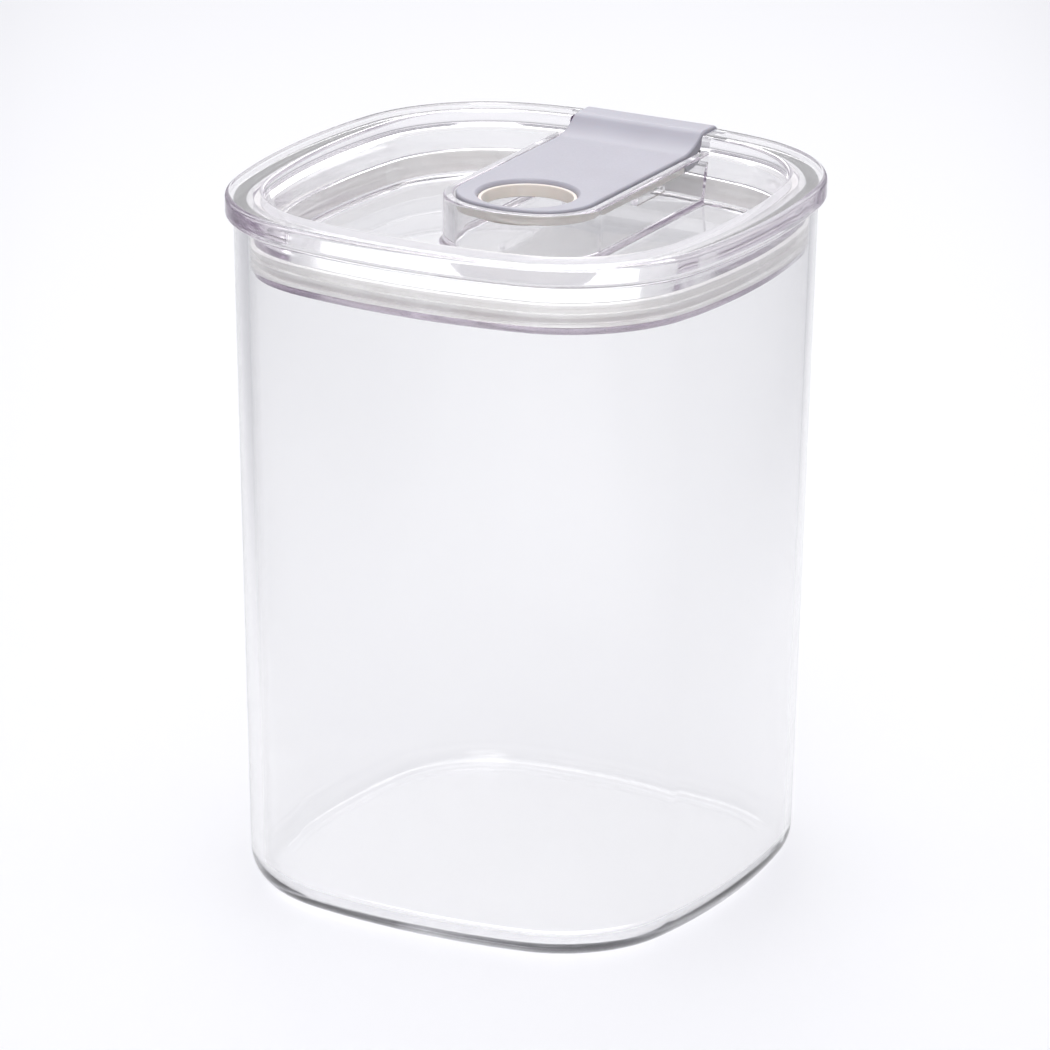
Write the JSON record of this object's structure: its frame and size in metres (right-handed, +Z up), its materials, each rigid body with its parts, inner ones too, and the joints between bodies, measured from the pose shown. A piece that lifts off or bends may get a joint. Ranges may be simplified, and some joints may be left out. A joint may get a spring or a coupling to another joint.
{
  "type": "storage jar",
  "caption": "Clear rounded-square food storage jar with a recessed lift-off lid, a silicone seal and a flip lever with a finger hole.",
  "frame": {"origin": "centre of the jar's foot, on the surface it stands on", "axes": "+Z up, -Y the side away from the lever's hinge, +X to the right of that side"},
  "size_m": [0.112, 0.1118, 0.1494],
  "materials": {
    "jar_clear": "clear gloss moulding",
    "lid_clear": "clear gloss moulding",
    "silicone": "translucent milky silicone",
    "lever_plastic": "satin pale lilac-grey",
    "liner_plastic": "satin warm ivory",
    "ring_soft": "soft warm ivory",
    "pin_steel": "drawn steel rod"
  },
  "bodies": {
    "jar": {"jar_body": "jar_clear"},
    "lid": {"lid_shell": "lid_clear", "seal_ring": "silicone", "hinge_pin": "pin_steel"},
    "lever": {"lever_shell": "lever_plastic", "lever_liner": "liner_plastic", "finger_ring": "ring_soft"}
  },
  "joints": [
    {"name": "lid_lift", "type": "slide", "parent": "jar", "child": "lid", "axis": [0, 0, 1], "range_m": [0, 0.15]},
    {"name": "lever_flip", "type": "hinge", "parent": "lid", "child": "lever", "pos_m": [0, 0.0534, 0.14695], "axis": [-1, 0, 0], "range_deg": [0, 95]}
  ]
}
